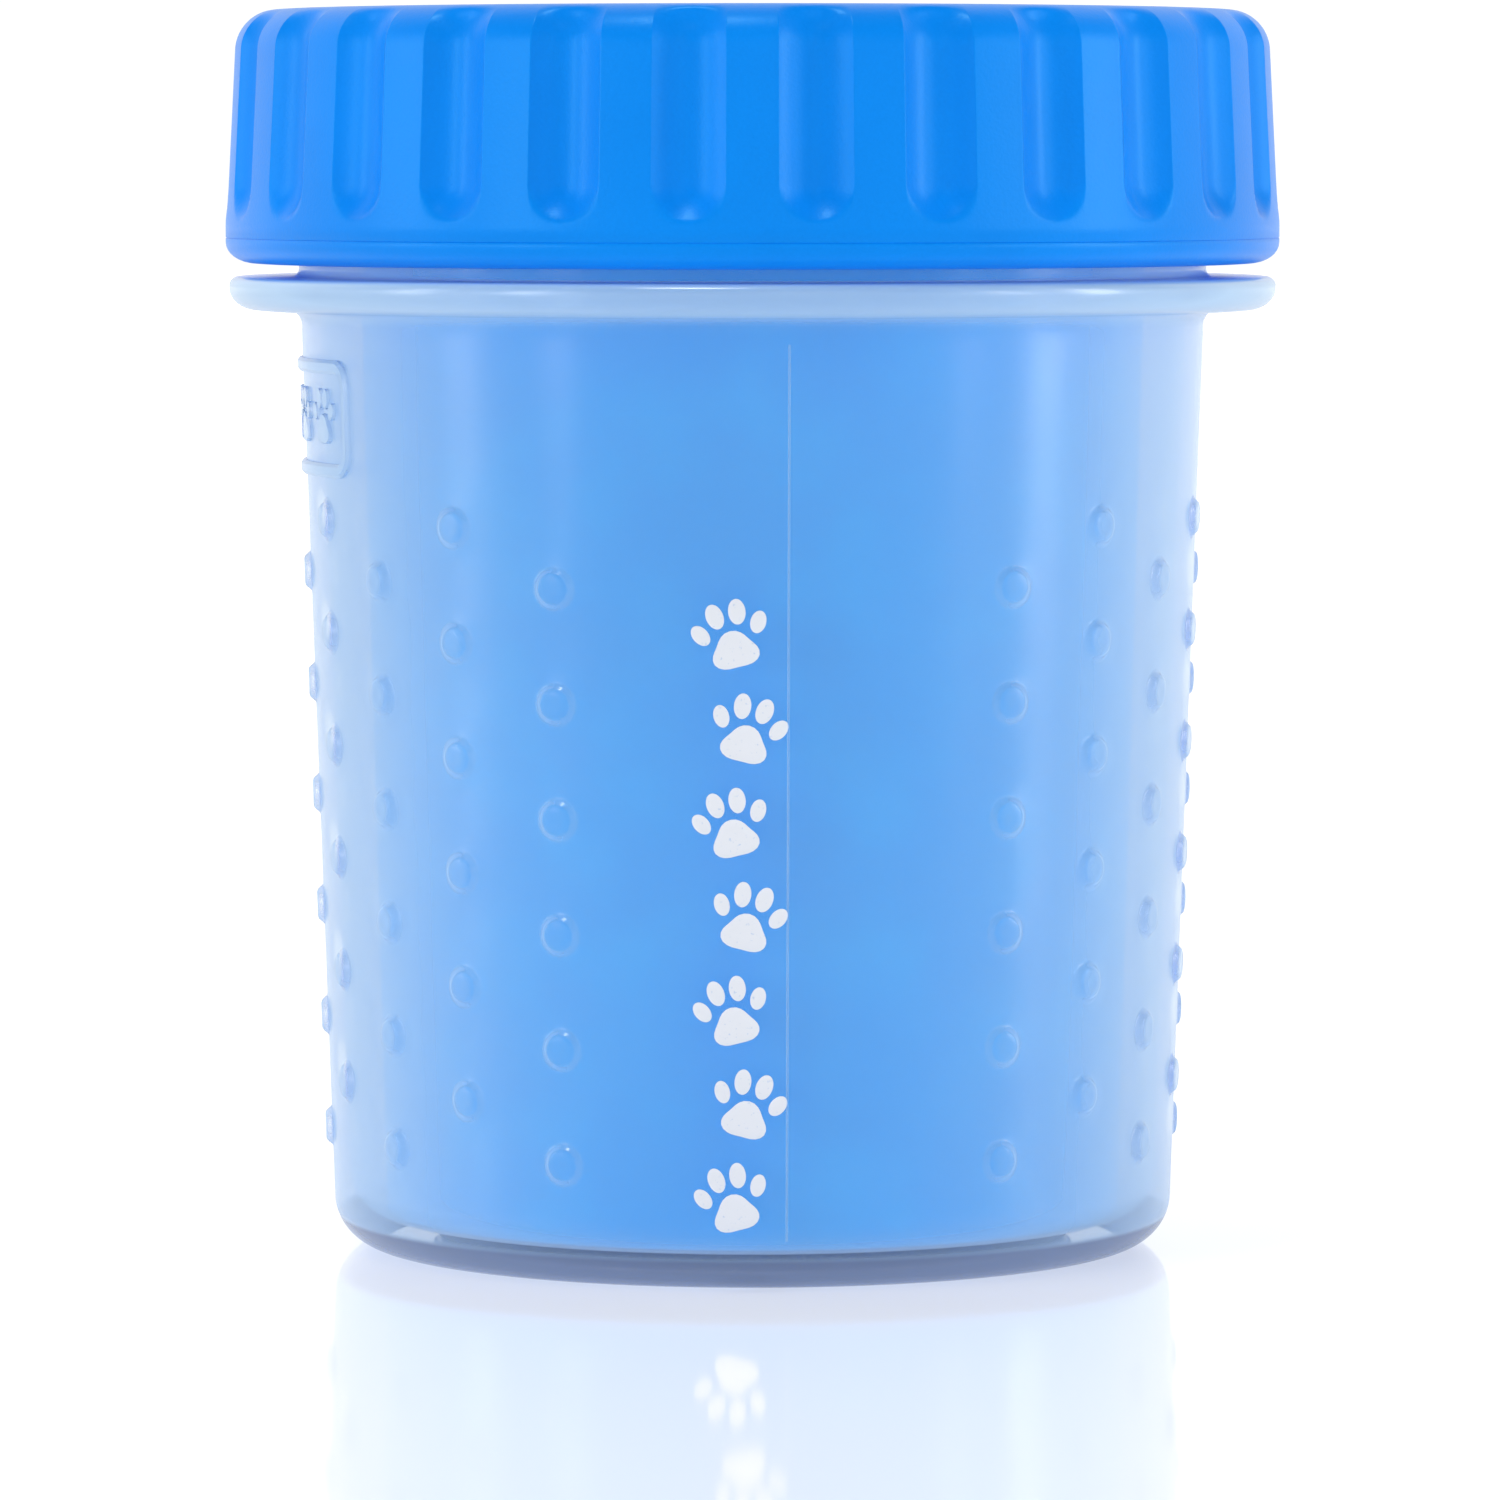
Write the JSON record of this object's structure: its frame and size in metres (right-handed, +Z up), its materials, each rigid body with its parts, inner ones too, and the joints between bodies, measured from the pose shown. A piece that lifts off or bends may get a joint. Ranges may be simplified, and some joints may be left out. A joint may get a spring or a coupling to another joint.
{
  "type": "paw washer cup",
  "caption": "Paw-washing cup: translucent tapered cup, fluted screw-on lid ring with an open mouth, sealing gasket and soft bristle insert that lifts out.",
  "frame": {"origin": "centre of the foot ring, on the surface the cup stands on", "axes": "+Z up the cup's axis to the open mouth, -Y towards the parting line with the printed paw marks, -X towards the blank name panel"},
  "size_m": [0.0954, 0.0954, 0.112],
  "materials": {
    "cup_translucent": "satin translucent polypropylene",
    "lid_blue": "fine matt texture",
    "gasket_white": "smooth soft rubber",
    "silicone_blue": "soft satin silicone"
  },
  "bodies": {
    "cup": {"cup": "cup_translucent"},
    "gasket": {"lid_gasket": "gasket_white"},
    "lid": {"lid_ring": "lid_blue"},
    "insert": {"insert_sleeve": "silicone_blue", "bristle_column_01": "silicone_blue", "bristle_column_02": "silicone_blue", "bristle_column_03": "silicone_blue", "bristle_column_04": "silicone_blue", "bristle_column_05": "silicone_blue", "bristle_column_06": "silicone_blue", "bristle_column_07": "silicone_blue", "bristle_column_08": "silicone_blue", "bristle_column_09": "silicone_blue", "bristle_column_10": "silicone_blue", "bristle_column_11": "silicone_blue", "bristle_column_12": "silicone_blue", "bristle_column_13": "silicone_blue", "bristle_column_14": "silicone_blue", "bristle_column_15": "silicone_blue", "bristle_column_16": "silicone_blue", "bristle_column_17": "silicone_blue", "bristle_column_18": "silicone_blue"}
  },
  "joints": [
    {"name": "lid_rise", "type": "slide", "parent": "cup", "child": "gasket", "axis": [0, 0, 1], "range_m": [0, 0.03]},
    {"name": "lid_turn", "type": "hinge", "parent": "gasket", "child": "lid", "pos_m": [0, 0, 0.1], "axis": [0, 0, 1], "range_deg": [0, 540]},
    {"name": "insert_lift", "type": "slide", "parent": "lid", "child": "insert", "axis": [0, 0, 1], "range_m": [0, 0.112]}
  ],
  "couplings": [
    {"joint": "lid_rise", "follows": "lid_turn", "m_per_rad": 0.0031831}
  ]
}
